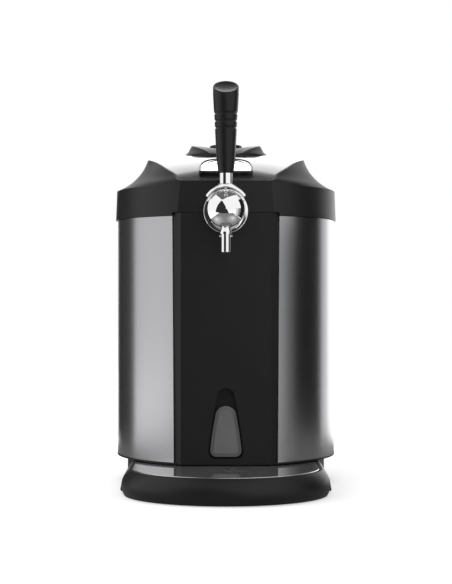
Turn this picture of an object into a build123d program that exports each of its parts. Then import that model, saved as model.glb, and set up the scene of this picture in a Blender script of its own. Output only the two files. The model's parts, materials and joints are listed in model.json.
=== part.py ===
from build123d import *
import os
from math import acos, atan2, cos, degrees, pi, radians, sin, sqrt, tan

os.makedirs("parts", exist_ok=True)

# Clearances
run_gap = 0.4            # between pieces that move past each other
fit_gap = 0.1            # between pieces fixed to each other
pin_gap = 0.05           # round the hinge pin

# Keg room and the body round it
keg_room_r = 93.0        # clear radius: a 172 mm keg and room for a hand
chamber_lift = 14.5      # chamber floor above the rim
liner_wall = 2.5
foam_wall = 38.7
steel_wall = 0.8
foot_height = 2.0
base_height = 29.0       # drum under the body
floor_wall = 2.0         # black rim that closes the body
body_height = 287.5      # height of the steel
drum_inset = 12.2        # drum inside the steel's radius
drum_wall = 3.0
deck_wall = 6.5          # collar at the body's mouth
gasket_height = 2.5

# Front panel
face_inset = 9.4         # flat face inside the steel's radius
flat_half = 52.5
panel_half_top = 61.8
panel_taper = 1.8        # narrower at the foot, each side
bevel_depth = 6.6
return_depth = 7.0
panel_wall = 3.0
panel_step = 3.7         # panel stands above the steel

# Lamp window
window_low = 6.9         # above the panel's lower edge
window_height = 82.2
window_half = 21.0
window_head = 9.8
window_shoulder = 7.1
window_bow = 1.2
window_depth = 8.0
window_wall = 2.0
lens_height = 59.0
lens_low = 2.1           # above the window's lower edge
lens_half = 19.0
lens_head = 11.7
lens_shoulder = 8.7
lens_bow = 0.7
lens_wall = 5.6

# Lid
lid_gap = 0.5
lid_overhang = 2.5
skirt_draft = 1.4
shoulder_rise = 34.3
bell_offset = 20.1       # centre of the wing's hollow outside the lid's radius
bell_rise = 95.6         # and above the skirt's edge
bell_curve = 63.5
front_rise = 40.3        # band at the front edge above the skirt's edge
crest_rise = 77.5        # band at the crest, along its sides
crest_bulge = 6.4        # how much higher the band is in the middle
band_power = 1.81        # how the band falls off from the crest
wing_stretch = 0.104     # wings reach further to the front than to the sides
wing_swell = 0.045       # and further still half way up
swell_rise = 56.0        # height of the swell above the skirt's edge
swell_half = 15.0
wing_half = 85.0         # half width at which the bulge ends
lid_wall = 6.0
band_wall = 2.0
band_margin = 1.4
liner_seat = 2.3         # liner's flange above the skirt's edge
liner_sheet = 2.0
collar_r = 53.5
collar_top_r = 42.8
collar_height = 17.2     # above the crest
collar_setback = 8.0     # centre of the collar and grip behind the lid's axis
collar_dip = 9.7         # how much lower the collar is at its front
collar_room_r = 35.0
grip_r = 20.5
notch_half = 34.0        # room in the liner for the tap's nut and the latch
notch_depth = 42.0       # behind the button's flat edge

# Lid button and latch
button_inset = 13.6      # flat edge behind the panel's face
button_run = 44.0        # depth of the button from above
button_half = 31.7
button_border = 2.4
button_wall = 4.0
spring_room = 6.0
spring_r = 5.0
spring_wire = 0.8
spring_turns = 3
bezel_wall = 1.5
latch_x = -24.0
latch_half = 4.0
plunger_r = 3.0

# Hinge at the rear
hinge_setback = 11.0     # behind the steel
hinge_rise = 1.5         # above the jacket's top
hinge_pin_r = 2.5
knuckle_r = 6.0
knuckle_half = 28.0
ear_width = 9.0

# Tap
tap_rise = 1.3           # above the panel's top
tap_overhang = 44.4      # centre of the ball in front of the panel
ball_r = 21.4
face_r = 25.0            # flatter front of the ball
face_setback = 8.4       # its centre behind the ball's
face_edge = 0.8          # rounding between the two
drop_r = 4.6             # drop under the ball, where it leaves the ball
valve_room_r = 14.5
pivot_r = 3.0            # stubs on the valve core that the lever turns on
pivot_half = 18.0
neck_r = 11.0
flange_r = 25.9
flange_wall = 5.4
shank_r = 8.0
shank_length = 41.0
flow_r = 3.0
nut_r = 11.0
nut_wall = 6.0
spout_r = 5.35
spout_bore_r = 3.9
spout_drop = 49.0        # below the centre of the ball
collar_ring_r = 6.9
saddle_gap = 2.1         # over the ball
saddle_wall = 3.5
saddle_half = 7.0        # front to back
saddle_tip = 12.2        # above the centre of the ball
stem_r = 7.5
stem_low = 28.0
handle_low = 41.0
handle_length = 106.6
handle_top_r = 14.6
blade_half = 1.5
blade_depth = 6.0
lever_travel = 30.0

# Drip tray
tray_overhang = 111.4    # furthest point in front of the steel
tray_side = 3.2          # side of the tray inside the drum's radius
tray_nose = 98.4         # length of the rounded nose
tray_horn = 58.0         # rear ends of the tray, in front of the axis
tray_low = 1.0
tray_top = 29.9
tray_wall = 3.0
tray_lip = 4.0           # rim round the plate
plate_wall = 1.5
plate_gap = 2.2          # in front of the steel and the panel
ledge = 5.0
tub_floor = 2.0
tub_low = 5.0
runner_x = 62.0
runner_half = 5.0
runner_height = 6.0
runner_length = 130.0
slot_width = 2.4

# Rear housing and cooling
rear_bulge = 20.0        # rear wall behind the steel
rear_half = 75.0
rear_wall = 2.5
rear_corner = 12.0
cooler_height = 190.0
module_side = 40.0
module_wall = 4.0
block_side = 44.0
block_depth = 16.5
sink_side = 84.0
sink_base = 4.0
fan_room = 0.5           # between the fins and the fan
fin_count = 14
fin_wall = 1.4
fan_side = 80.0
fan_wall = 15.0
fan_bore_r = 37.0
hub_r = 14.0
blade_count = 7
grille_r = 41.0
grille_wall = 2.0
socket_x = -38.0
switch_x = 38.0
controls_height = 66.0
switch_angle = 9.0

# Heights and places that follow from them
panel_half_foot = panel_half_top - panel_taper
body_r = keg_room_r + liner_wall + foam_wall + steel_wall
drum_r = body_r - drum_inset
tray_reach = body_r + tray_overhang
tray_half = drum_r - tray_side
rear_reach = body_r + rear_bulge
body_y = (tray_reach - rear_reach) / 2
base_top = foot_height + base_height
jacket_low = base_top + floor_wall
jacket_top = jacket_low + body_height
panel_top = jacket_top + panel_step
panel_reach = body_r - face_inset
edge_reach = panel_reach - bevel_depth
panel_back = edge_reach - return_depth
skirt_low = jacket_top + lid_gap
lid_r = body_r + lid_overhang
front_top = skirt_low + front_rise
crest = skirt_low + crest_rise
crown_top = crest + crest_bulge
tap_z = panel_top + tap_rise
room_floor = jacket_low + chamber_lift
liner_r = keg_room_r + liner_wall
core_r = body_r - steel_wall - fit_gap
deck_low = jacket_top - deck_wall
hinge_z = jacket_top + hinge_rise
rear_low = jacket_low
rear_top = deck_low
hinge_reach = body_r + hinge_setback
plate_rear_r = body_r + plate_gap
button_low = panel_reach - button_inset
button_high = button_low - button_run
tap_reach = panel_reach + tap_overhang
bell_r = lid_r + bell_offset
bell_z = skirt_low + bell_rise

centre_line = Axis((0, body_y, 0), (0, 0, 1))
upright = Plane(origin=(0, body_y, 0), x_dir=(1, 0, 0), z_dir=(0, -1, 0))


def sideways_at(x):
    """Upright plane along the middle of the body: sketch x runs forward, sketch y is height."""
    return Plane(origin=(x, body_y, 0), x_dir=(0, -1, 0), z_dir=(-1, 0, 0))


def level(height):
    """Horizontal plane on the body's axis."""
    return Plane((0, body_y, height))


def facing(reach, x=0, height=0):
    """Upright plane that faces forward, at a distance in front of the axis."""
    return Plane(origin=(x, body_y - reach, height), x_dir=(1, 0, 0), z_dir=(0, -1, 0))


def block(left, right, back, front, low, high, mode=Mode.ADD):
    """Box between limits in x, in distance in front of the axis and in height."""
    with Locations(((left + right) / 2, body_y - (back + front) / 2, (low + high) / 2)):
        Box(right - left, front - back, high - low, mode=mode)


def drum(radius, low, high, mode=Mode.ADD):
    """Upright cylinder about the body's axis."""
    with Locations((0, body_y, (low + high) / 2)):
        Cylinder(radius, high - low, mode=mode)


def post(radius, x, reach, low, high, mode=Mode.ADD):
    """Upright cylinder away from the axis."""
    with Locations((x, body_y - reach, (low + high) / 2)):
        Cylinder(radius, high - low, mode=mode)


def rod(radius, x, height, back, front, mode=Mode.ADD):
    """Round bar that lies front to back."""
    with Locations(facing((back + front) / 2, x, height)):
        Cylinder(radius, front - back, mode=mode)


def ball(radius, reach, height, mode=Mode.ADD):
    """Sphere in the middle plane."""
    with Locations((0, body_y - reach, height)):
        Sphere(radius, mode=mode)


def turned(corners, mode=Mode.ADD):
    """Solid of revolution about the body's axis, from corners given as radius and height."""
    with BuildSketch(upright) as section:
        Polygon(*corners, align=None)
    revolve(section.sketch, axis=centre_line, mode=mode)


def panel_plan(height, inset=0.0):
    """Corners of the front panel from above: a flat face, a bevel and a return each side."""
    share = (height - base_top) / (panel_top - base_top)
    half = panel_half_foot + (panel_half_top - panel_half_foot) * share
    fold = atan2(bevel_depth, half - flat_half)
    face = flat_half - inset * tan(fold / 2)
    side = half - inset
    corner = edge_reach - inset * tan((pi / 2 - fold) / 2)
    front = panel_reach - inset
    right = [(face, -front), (side, -corner), (side, -panel_back)]
    return [(-x, y) for x, y in reversed(right)] + right


def panel_block(inset, low, high, mode=Mode.ADD):
    """Front panel's outline, inset and drawn between two heights."""
    with BuildSketch(level(low)) as foot:
        Polygon(*panel_plan(low, inset), align=None)
    with BuildSketch(level(high)) as head:
        Polygon(*panel_plan(high, inset), align=None)
    loft([foot.sketch, head.sketch], mode=mode)


def name_part(part, label):
    """Label a finished piece and write its file."""
    part.label = label
    export_step(part, f"parts/{label}.step")


# Base: drum, plate, feet and the rim that carries the body
runner_low = foot_height + 5.0
runner_slot = runner_half + run_gap

with BuildPart() as base_housing:
    drum(drum_r, foot_height, base_top)
    drum(drum_r - drum_wall, foot_height, base_top - drum_wall, mode=Mode.SUBTRACT)
    for side in (-1, 1):
        x = side * runner_x
        block(x - runner_slot, x + runner_slot, tray_horn, drum_r, runner_low - run_gap,
              runner_low + runner_height + run_gap, mode=Mode.SUBTRACT)
    boss_ring = drum_r - 12.0
    for angle in (45, 135, 225, 315):
        x, reach = boss_ring * cos(radians(angle)), boss_ring * sin(radians(angle))
        post(5.0, x, reach, foot_height + 2.5, base_top - drum_wall)
        post(1.6, x, reach, foot_height + 2.5, foot_height + 14.0, mode=Mode.SUBTRACT)
name_part(base_housing.part, "base_housing")

plate_top = foot_height + 2.5
with BuildPart() as base_plate:
    drum(drum_r - drum_wall - fit_gap, foot_height, plate_top)
    for angle in (45, 135, 225, 315):
        x, reach = boss_ring * cos(radians(angle)), boss_ring * sin(radians(angle))
        post(2.0, x, reach, foot_height, plate_top, mode=Mode.SUBTRACT)
        post(3.6, x, reach, foot_height, foot_height + 1.0, mode=Mode.SUBTRACT)
name_part(base_plate.part, "base_plate")

with BuildPart() as base_screws:
    for angle in (45, 135, 225, 315):
        x, reach = boss_ring * cos(radians(angle)), boss_ring * sin(radians(angle))
        post(3.4, x, reach, foot_height + 0.1, foot_height + 1.0)
        post(1.5, x, reach, foot_height + 1.0, foot_height + 12.0)
name_part(base_screws.part, "base_screws")

foot_r = 10.0
foot_ring = drum_r - 34.8
with BuildPart() as rubber_feet:
    for angle in (40, 140, 220, 320):
        x, reach = foot_ring * cos(radians(angle)), foot_ring * sin(radians(angle))
        post(foot_r, x, reach, 0, foot_height)
    fillet(rubber_feet.edges().group_by(Axis.Z)[0], 0.6)
name_part(rubber_feet.part, "rubber_feet")

guide_back = -20.0
guide_front = sqrt(drum_r ** 2 - (runner_x + runner_slot + 4) ** 2) - 7.0
with BuildPart() as tray_guides:
    for side in (-1, 1):
        x = side * runner_x
        block(x - runner_half - 2.4, x + runner_half + 2.4, guide_back, guide_front, plate_top,
              runner_low + runner_height - 1.0)
        block(x - runner_slot, x + runner_slot, guide_back, guide_front, runner_low - fit_gap,
              runner_low + runner_height, mode=Mode.SUBTRACT)
name_part(tray_guides.part, "tray_guides")

supply_half = 34.0
supply_back = -80.0
supply_front = -30.0
supply_z = plate_top + 4.0
board_wall = 1.6
board_top = supply_z + board_wall
with BuildPart() as power_board:
    block(-supply_half, supply_half, supply_back, supply_front, supply_z, board_top)
    for x in (-supply_half + 4, supply_half - 4):
        for reach in (supply_back + 4, supply_front - 4):
            post(2.5, x, reach, plate_top, supply_z)
    block(-12, 14, supply_front - 32, supply_front - 8, board_top, board_top + 13.4)
    for reach in (supply_back + 12, supply_back + 24):
        post(4.5, -supply_half + 10, reach, board_top, board_top + 12.4)
name_part(power_board.part, "power_board")

with BuildPart() as bottom_rim:
    drum(body_r + 0.5, base_top, jacket_low)
    block(-body_r, body_r, panel_reach - panel_wall - fit_gap, body_r + 1, base_top,
          jacket_low, mode=Mode.SUBTRACT)
    panel_block(-fit_gap, base_top - 0.1, jacket_low + 0.1, mode=Mode.SUBTRACT)
    panel_block(panel_wall + fit_gap, base_top, jacket_low)
name_part(bottom_rim.part, "bottom_rim")

# Body: keg chamber, foam, steel sides, collar and seal
with BuildPart() as keg_chamber:
    drum(liner_r, room_floor - liner_wall, deck_low)
    drum(keg_room_r, room_floor, deck_low, mode=Mode.SUBTRACT)
name_part(keg_chamber.part, "keg_chamber")

foam_front = panel_back - 0.5
pocket_half = window_half + window_wall + 2.0
rear_inner = rear_half - rear_wall
foam_back = sqrt(body_r ** 2 - (rear_half + 5) ** 2)
with BuildPart() as insulation:
    drum(core_r, jacket_low, deck_low)
    drum(liner_r + fit_gap, room_floor - liner_wall - fit_gap, deck_low, mode=Mode.SUBTRACT)
    block(-panel_half_top - 1, panel_half_top + 1, foam_front, body_r, jacket_low, deck_low,
          mode=Mode.SUBTRACT)
    block(-rear_half - 0.5, rear_half + 0.5, -body_r, -foam_back, jacket_low, deck_low,
          mode=Mode.SUBTRACT)
    block(-block_side / 2 - 0.3, block_side / 2 + 0.3, -body_r, -keg_room_r,
          cooler_height - block_side / 2 - 0.3, cooler_height + block_side / 2 + 0.3,
          mode=Mode.SUBTRACT)
name_part(insulation.part, "insulation")



def panel_slot(gap, low, high, mode=Mode.SUBTRACT):
    """Room for the whole front panel, out through the body's round wall."""
    plans = []
    for height in (low, high):
        half = panel_plan(height)[-1][0] + gap
        with BuildSketch(level(height)) as plan:
            with Locations((0, -(panel_back + body_r + 5) / 2)):
                Rectangle(2 * half, body_r + 5 - panel_back)
        plans.append(plan.sketch)
    loft(plans, mode=mode)


steel_gap = 0.8
for label, keep in (("side_panel_left", Keep.BOTTOM), ("side_panel_right", Keep.TOP)):
    with BuildPart() as side_panel:
        drum(body_r, jacket_low, jacket_top)
        drum(body_r - steel_wall, jacket_low, jacket_top, mode=Mode.SUBTRACT)
        panel_slot(steel_gap, jacket_low, jacket_top)
        block(-rear_half - 0.5, rear_half + 0.5, -body_r, 0, jacket_low, jacket_top,
              mode=Mode.SUBTRACT)
        split(bisect_by=Plane.YZ, keep=keep)
    name_part(side_panel.part, label)

cradle_half = 14.0
cradle_back = panel_reach - 21.6
keeper_front = panel_reach - panel_wall - 0.8
keeper_wall = 2.4
with BuildPart() as top_collar:
    drum(core_r, deck_low, jacket_top)
    block(-panel_half_top - 1, panel_half_top + 1, panel_back, body_r, deck_low, jacket_top,
          mode=Mode.SUBTRACT)
    block(-rear_half - 0.5, rear_half + 0.5, -body_r, -foam_back, deck_low, jacket_top,
          mode=Mode.SUBTRACT)
    panel_block(panel_wall + fit_gap, deck_low, jacket_top)
    block(-cradle_half, cradle_half, cradle_back, panel_reach - panel_wall - 0.8,
          jacket_top, panel_top)
    drum(keg_room_r, deck_low, jacket_top, mode=Mode.SUBTRACT)
    block(-nut_r - 1, nut_r + 1, keg_room_r - 5, cradle_back, deck_low, panel_top,
          mode=Mode.SUBTRACT)
    rod(shank_r + fit_gap, 0, tap_z, keg_room_r, body_r, mode=Mode.SUBTRACT)
    block(latch_x - latch_half - 2, latch_x + latch_half + 2, keeper_front - keeper_wall,
          keeper_front, jacket_top, jacket_top + 4.5)
name_part(top_collar.part, "top_collar")

gasket_r = keg_room_r + 17.0
gasket_width = 4.0
with BuildPart() as lid_gasket:
    drum(gasket_r, jacket_top, jacket_top + gasket_height)
    drum(gasket_r - gasket_width, jacket_top, jacket_top + gasket_height, mode=Mode.SUBTRACT)
    block(-notch_half - 2, notch_half + 2, 0, body_r, jacket_top, jacket_top + 4,
          mode=Mode.SUBTRACT)
    fillet(lid_gasket.edges().filter_by(GeomType.CIRCLE).group_by(Axis.Z)[-1], 1.0)
name_part(lid_gasket.part, "lid_gasket")


# Front panel with its drop-shaped window, lens and lamp board
def drop_outline(foot, height, half, head, shoulder, bow):
    """Drop shape with a round head, in x and height: width at the foot and at the head's spring."""
    neck = foot + height - shoulder
    middle = ((half + head) / 2 + bow, (foot + neck) / 2)
    with BuildSketch() as outline:
        with BuildLine():
            Line((-half, foot), (half, foot))
            ThreePointArc((half, foot), middle, (head, neck))
            ThreePointArc((head, neck), (0, foot + height), (-head, neck))
            ThreePointArc((-head, neck), (-middle[0], middle[1]), (-half, foot))
        make_face()
        fillet(outline.vertices().group_by(Axis.Y)[0], half * 0.38)
    return outline.sketch


def front_shape(shape, back, front, mode=Mode.ADD):
    """Outline in x and height, drawn forward between two distances in front of the axis."""
    with BuildSketch(facing(back)) as face:
        add(shape)
    extrude(face.sketch, amount=front - back, mode=mode)


window_foot = base_top + window_low
window_shape = drop_outline(window_foot, window_height, window_half, window_head,
                            window_shoulder, window_bow)
window_back = panel_reach - window_depth
lamp_low = window_foot + 20.0
lamp_high = window_foot + 44.0

with BuildPart() as front_panel:
    panel_block(0, base_top, panel_top)
    panel_block(panel_wall, base_top, panel_top, mode=Mode.SUBTRACT)
    front_shape(offset(window_shape, window_wall), window_back - window_wall, panel_reach - 1.0)
    front_shape(window_shape, window_back, panel_reach + 1.0, mode=Mode.SUBTRACT)
    block(-5, 5, window_back - window_wall, window_back, lamp_low, lamp_high, mode=Mode.SUBTRACT)
    rod(shank_r + fit_gap, 0, tap_z, panel_back, panel_reach + 1, mode=Mode.SUBTRACT)
name_part(front_panel.part, "front_panel")

with BuildPart() as status_lens:
    lens_foot = window_foot + lens_low
    lens_shape = drop_outline(lens_foot, lens_height, lens_half, lens_head, lens_shoulder,
                              lens_bow)
    front_shape(lens_shape, window_back, window_back + lens_wall - 1.6)
    front_shape(offset(lens_shape, -3.5), window_back, window_back + lens_wall)
name_part(status_lens.part, "status_lens")

lamp_back = window_back - window_wall
with BuildPart() as lamp_board:
    block(-9, 9, lamp_back - 1.6, lamp_back, lamp_low - 6, lamp_high + 6)
    for height in (lamp_low + 4, (lamp_low + lamp_high) / 2, lamp_high - 4):
        block(-2.5, 2.5, lamp_back, window_back - 0.2, height - 2.5, height + 2.5)
name_part(lamp_board.part, "lamp_board")


# Lid: shell with hollow wings, gloss band, liner, foam, collar ring and grip
def wing_radius(rise):
    """Radius of the wing's hollow arc at a height above the skirt's edge."""
    return bell_r - sqrt(bell_curve ** 2 - (bell_rise - rise) ** 2)


def bell_space(inset):
    """Space inside the wings: ellipses up a hollow arc, and an upright skirt below."""
    ellipses = []
    rises = [shoulder_rise + step for step in (0, 2.5, 6, 12, 20, 31, 42, 54)]
    for rise in rises:
        share = min((rise - shoulder_rise) / (front_rise - shoulder_rise), 1)
        swell = max(1 - ((rise - swell_rise) / swell_half) ** 2, 0)
        radius = wing_radius(rise)
        deep = radius * (1 + wing_stretch * share ** 1.5 + wing_swell * swell)
        with BuildSketch(level(skirt_low + rise)) as ring:
            Ellipse(radius - inset, deep - inset)
        ellipses.append(ring.sketch)
    base = wing_radius(shoulder_rise) - inset
    with BuildPart() as bell:
        loft(ellipses)
        drum(base, skirt_low - 5, skirt_low + shoulder_rise)
    return bell.part


def band_rise(reach):
    """Height of the band's side edge above the skirt's edge, at a distance from the axis."""
    share = abs(reach) / panel_reach
    return crest_rise - (crest_rise - front_rise) * share ** band_power


def band_bulge(reach):
    """How much higher the band is in its middle than at its side edges."""
    return max(crest_bulge * (1 - (reach / panel_reach) ** 2), 0.05)


def band_space(drop):
    """Everything under the band's doubly curved top, lowered by a drop."""
    sections = []
    side = body_r + 5
    for share in (-1.12, -1, -0.76, -0.51, -0.25, 0, 0.25, 0.51, 0.76, 1, 1.12):
        reach = share * panel_reach
        rise, bulge = band_rise(reach) - drop, band_bulge(reach)
        edge = rise + bulge * (1 - (side / wing_half) ** 2)
        with BuildSketch(facing(reach, 0, skirt_low)) as section:
            with BuildLine():
                Polyline((side, edge), (side, -5), (-side, -5), (-side, edge))
                ThreePointArc((-side, edge), (0, rise + bulge), (side, edge))
            make_face()
        sections.append(section.sketch)
    with BuildPart() as space:
        loft(sections)
    return space.part


def band_height(reach):
    """Height of the band's middle line."""
    return skirt_low + band_rise(reach) + band_bulge(reach)


button_climb = band_height(button_high) - band_height(button_low)
button_tilt = atan2(button_climb, button_run)
button_length = sqrt(button_run ** 2 + button_climb ** 2)


def button_plane(depth):
    """Plane along the band's slope at the button's flat edge, lowered by a depth."""
    back, up = sin(button_tilt) * depth, -cos(button_tilt) * depth
    return Plane(origin=(0, body_y - button_low + back, band_height(button_low) + up),
                 x_dir=(1, 0, 0), z_dir=(0, -sin(button_tilt), cos(button_tilt)))


def half_moon(inset=0.0):
    """Half-moon outline: flat edge, round shoulders and a shallow crown."""
    shoulder = button_length * 0.93
    with BuildSketch() as moon:
        with BuildLine():
            Polyline((-button_half, shoulder), (-button_half, 0), (button_half, 0),
                     (button_half, shoulder))
            ThreePointArc((button_half, shoulder), (0, button_length),
                          (-button_half, shoulder))
        make_face()
        fillet(moon.vertices().group_by(Axis.Y)[-1], 26.0)
        fillet(moon.vertices().group_by(Axis.Y)[0], 3.0)
        if inset:
            offset(amount=-inset, mode=Mode.REPLACE)
    return moon.sketch


def moon_block(inset, deep, high, mode=Mode.ADD):
    """Half-moon drawn square to the slope, from a depth to a height over the slope's chord."""
    with BuildSketch(button_plane(deep)) as moon:
        add(half_moon(inset))
    extrude(moon.sketch, amount=deep + high, mode=mode)


lid_face = panel_reach - 0.4
cup_depth = button_wall + spring_room
seat_depth = cup_depth + bezel_wall

under_band = band_space(0)

with BuildPart() as lid_band:
    add(under_band)
    add(band_space(band_wall), mode=Mode.SUBTRACT)
    add(bell_space(band_margin), mode=Mode.INTERSECT)
    block(-body_r, body_r, lid_face - 1.2, lid_r + 20, skirt_low - 9, crown_top + 9,
          mode=Mode.SUBTRACT)
    block(-body_r, body_r, -lid_r - 20, -lid_face + 1.2, skirt_low - 9, crown_top + 9,
          mode=Mode.SUBTRACT)
    moon_block(-fit_gap, 20, 12, mode=Mode.SUBTRACT)
name_part(lid_band.part, "lid_band")

room_r = lid_r - lid_wall
dome_r = keg_room_r + 5.0
liner_top = liner_seat + liner_sheet
cavity = [(0, -2), (room_r, -2), (room_r, shoulder_rise - 7.3), (dome_r + 8, 42),
          (0.77 * dome_r, 59), (0.46 * dome_r, 68), (0, 72)]
dome = [(dome_r, shoulder_rise - 7.3), (0.7 * dome_r, 46), (0.44 * dome_r, 55), (0, 58)]
dome_outside = [(radius + liner_sheet * (radius > 0), rise + liner_sheet / 2 + 1)
                for radius, rise in reversed(dome)]
liner_out = (dome_outside + [(dome_r + liner_sheet, liner_top), (room_r - 0.5, liner_top),
                             (room_r - 0.5, liner_seat), (dome_r, liner_seat)] + dome)
foam_shape = ([(radius - 2 * fit_gap * (radius > 0), rise - 2 * fit_gap)
               for radius, rise in cavity[2:]]
              + [(radius + fit_gap * (radius > 0), rise + fit_gap) for radius, rise in dome_outside]
              + [(dome_r + liner_sheet + fit_gap, liner_top + fit_gap),
                 (room_r - 2 * fit_gap, liner_top + fit_gap)])
inner_face = lid_face - 3.0


def above_skirt(corners):
    """Corners given above the skirt's edge, moved to their height."""
    return [(radius, skirt_low + rise) for radius, rise in corners]


def clear_front(limit):
    """Cut a lid piece off at its flat front."""
    block(-lid_r, lid_r, limit, lid_r + 5, skirt_low - 9, crown_top + 9, mode=Mode.SUBTRACT)


def lid_room():
    """Hollow inside the lid shell."""
    with BuildPart() as room:
        turned(above_skirt(cavity))
        clear_front(inner_face)
    return room.part


guide_half = latch_half + 3.6
bar_low = skirt_low + 5.7
bar_high = bar_low + 3.4
latch_guide = button_low - 8.0
notch_back = button_low - notch_depth
with BuildPart() as lid_shell:
    turned(above_skirt([(0, 0), (lid_r, 0), (lid_r - skirt_draft, shoulder_rise),
                        (lid_r - skirt_draft, 100), (0, 100)]))
    add(bell_space(0), mode=Mode.INTERSECT)
    add(under_band, mode=Mode.INTERSECT)
    clear_front(lid_face)
    block(-panel_half_top - steel_gap, panel_half_top + steel_gap, panel_back, lid_r,
          skirt_low - 1, panel_top + lid_gap, mode=Mode.SUBTRACT)
    add(lid_band.part, mode=Mode.SUBTRACT)
    add(lid_room(), mode=Mode.SUBTRACT)
    moon_block(-fit_gap, seat_depth, 12, mode=Mode.SUBTRACT)
    block(latch_x - guide_half, latch_x + guide_half, latch_guide, inner_face + 1, bar_low - 1.2,
          bar_high + 3)
    block(latch_x - latch_half - run_gap, latch_x + latch_half + run_gap, latch_guide - 4,
          inner_face - 2, bar_low - 0.3, bar_high + 0.3, mode=Mode.SUBTRACT)
    block(latch_x - latch_half - run_gap, latch_x + latch_half + run_gap, button_low,
          inner_face - 2, bar_low - 2, bar_low, mode=Mode.SUBTRACT)
    rod(shank_r + 0.8, 0, tap_z, panel_back, lid_r, mode=Mode.SUBTRACT)
    block(-shank_r - 0.8, shank_r + 0.8, panel_back, lid_r, skirt_low - 1, tap_z,
          mode=Mode.SUBTRACT)
name_part(lid_shell.part, "lid_shell")

room_top = skirt_low + 24.0
with BuildPart() as lid_liner:
    turned(above_skirt(liner_out))
    clear_front(inner_face - fit_gap)
    block(-panel_half_top - 1, panel_half_top + 1, panel_back - 1, lid_r, skirt_low - 1,
          skirt_low + 4.5, mode=Mode.SUBTRACT)
    block(-notch_half, notch_half, notch_back, lid_r, skirt_low - 1, room_top,
          mode=Mode.SUBTRACT)
    moon_block(-0.2, seat_depth + fit_gap, 12, mode=Mode.SUBTRACT)
    block(latch_x - 5, latch_x + 5, notch_back, latch_guide, room_top - 1, room_top + 20,
          mode=Mode.SUBTRACT)
name_part(lid_liner.part, "lid_liner")

with BuildPart() as lid_foam:
    turned(above_skirt(foam_shape))
    clear_front(inner_face - 2 * fit_gap)
    block(-notch_half, notch_half, notch_back, lid_r, skirt_low - 1, room_top,
          mode=Mode.SUBTRACT)
    moon_block(-0.2, seat_depth + fit_gap, 12, mode=Mode.SUBTRACT)
    block(latch_x - 5, latch_x + 5, notch_back, latch_guide, room_top - 1, room_top + 20,
          mode=Mode.SUBTRACT)
name_part(lid_foam.part, "lid_foam")

collar_top = crest + collar_height
dip_curve = (collar_top_r ** 2 + collar_dip ** 2) / (2 * collar_dip)
with BuildPart() as collar_blank:
    turned([(collar_r + 1.5, crest - 10), (collar_r, crest + 4), (collar_r - 6, crest + 9.5),
            (collar_top_r, collar_top + 1), (collar_top_r - 4.5, collar_top + 1),
            (collar_room_r, crest + 8), (collar_room_r, crest - 10)])
    reach = collar_r + 6
    fall = dip_curve - sqrt(dip_curve ** 2 - reach ** 2)
    with BuildSketch(sideways_at(0)) as trim:
        with BuildLine():
            TangentArc((0, collar_top), (reach, collar_top - fall), tangent=(1, 0))
            Polyline((reach, collar_top - fall), (reach, collar_top + 9),
                     (-reach, collar_top + 9), (-reach, collar_top), (0, collar_top))
        make_face()
    extrude(amount=collar_r + 9, both=True, mode=Mode.SUBTRACT)

collar_place = Location((0, collar_setback, 0))
with BuildPart() as crown_collar:
    add(collar_blank.part.moved(collar_place))
    add(under_band, mode=Mode.SUBTRACT)
name_part(crown_collar.part, "crown_collar")

with BuildPart() as grip_blank:
    drum(grip_r, crest - 10, collar_top + 0.8)
    fillet(grip_blank.edges().group_by(Axis.Z)[-1], 2.0)

with BuildPart() as crown_grip:
    add(grip_blank.part.moved(collar_place))
    add(under_band, mode=Mode.SUBTRACT)
name_part(crown_grip.part, "crown_grip")

# Lid button, its cup, spring and the latch it draws back
plunger_reach = button_low - 9.0
slope_z = band_height(button_low) + 9.0 * tan(button_tilt)
tip_z = bar_high + 7.0
plunger_length = (slope_z - tip_z) / cos(button_tilt)
tip_reach = plunger_reach - plunger_length * sin(button_tilt)
ramp = atan2(cos(button_tilt), 1 - sin(button_tilt))


def plunger(radius, top, mode=Mode.ADD):
    """Round bar square to the slope, from a depth under it to the plunger's tip."""
    along = 9.0 / cos(button_tilt)
    with BuildSketch(button_plane(top)) as end:
        with Locations((latch_x, along)):
            Circle(radius)
    extrude(end.sketch, amount=top - plunger_length, mode=mode)


with BuildPart() as button_bezel:
    moon_block(0, seat_depth, 12)
    add(band_space(-0.5), mode=Mode.INTERSECT)
    moon_block(button_border, cup_depth, 14, mode=Mode.SUBTRACT)
    plunger(plunger_r + run_gap, 0, mode=Mode.SUBTRACT)
name_part(button_bezel.part, "button_bezel")

with BuildPart() as lid_button:
    moon_block(button_border + 0.3, button_wall, 12)
    add(band_space(0.2), mode=Mode.INTERSECT)
    plunger(plunger_r, button_wall)
    with Locations((latch_x, body_y - tip_reach, tip_z)):
        Sphere(plunger_r)
name_part(lid_button.part, "lid_button")

spring_pitch = (spring_room - 0.4 - spring_wire) / spring_turns
spring_place = button_plane(cup_depth - 0.2 - spring_wire / 2)
with BuildPart() as button_spring:
    with BuildLine() as coil:
        Helix(spring_pitch, spring_pitch * spring_turns, spring_r,
              center=spring_place.from_local_coords((0, button_length * 0.45, 0)),
              direction=spring_place.z_dir)
    with BuildSketch(Plane(origin=coil.line @ 0, z_dir=coil.line % 0)):
        Circle(spring_wire / 2)
    sweep(path=coil.line)
name_part(button_spring.part, "button_spring")

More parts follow.
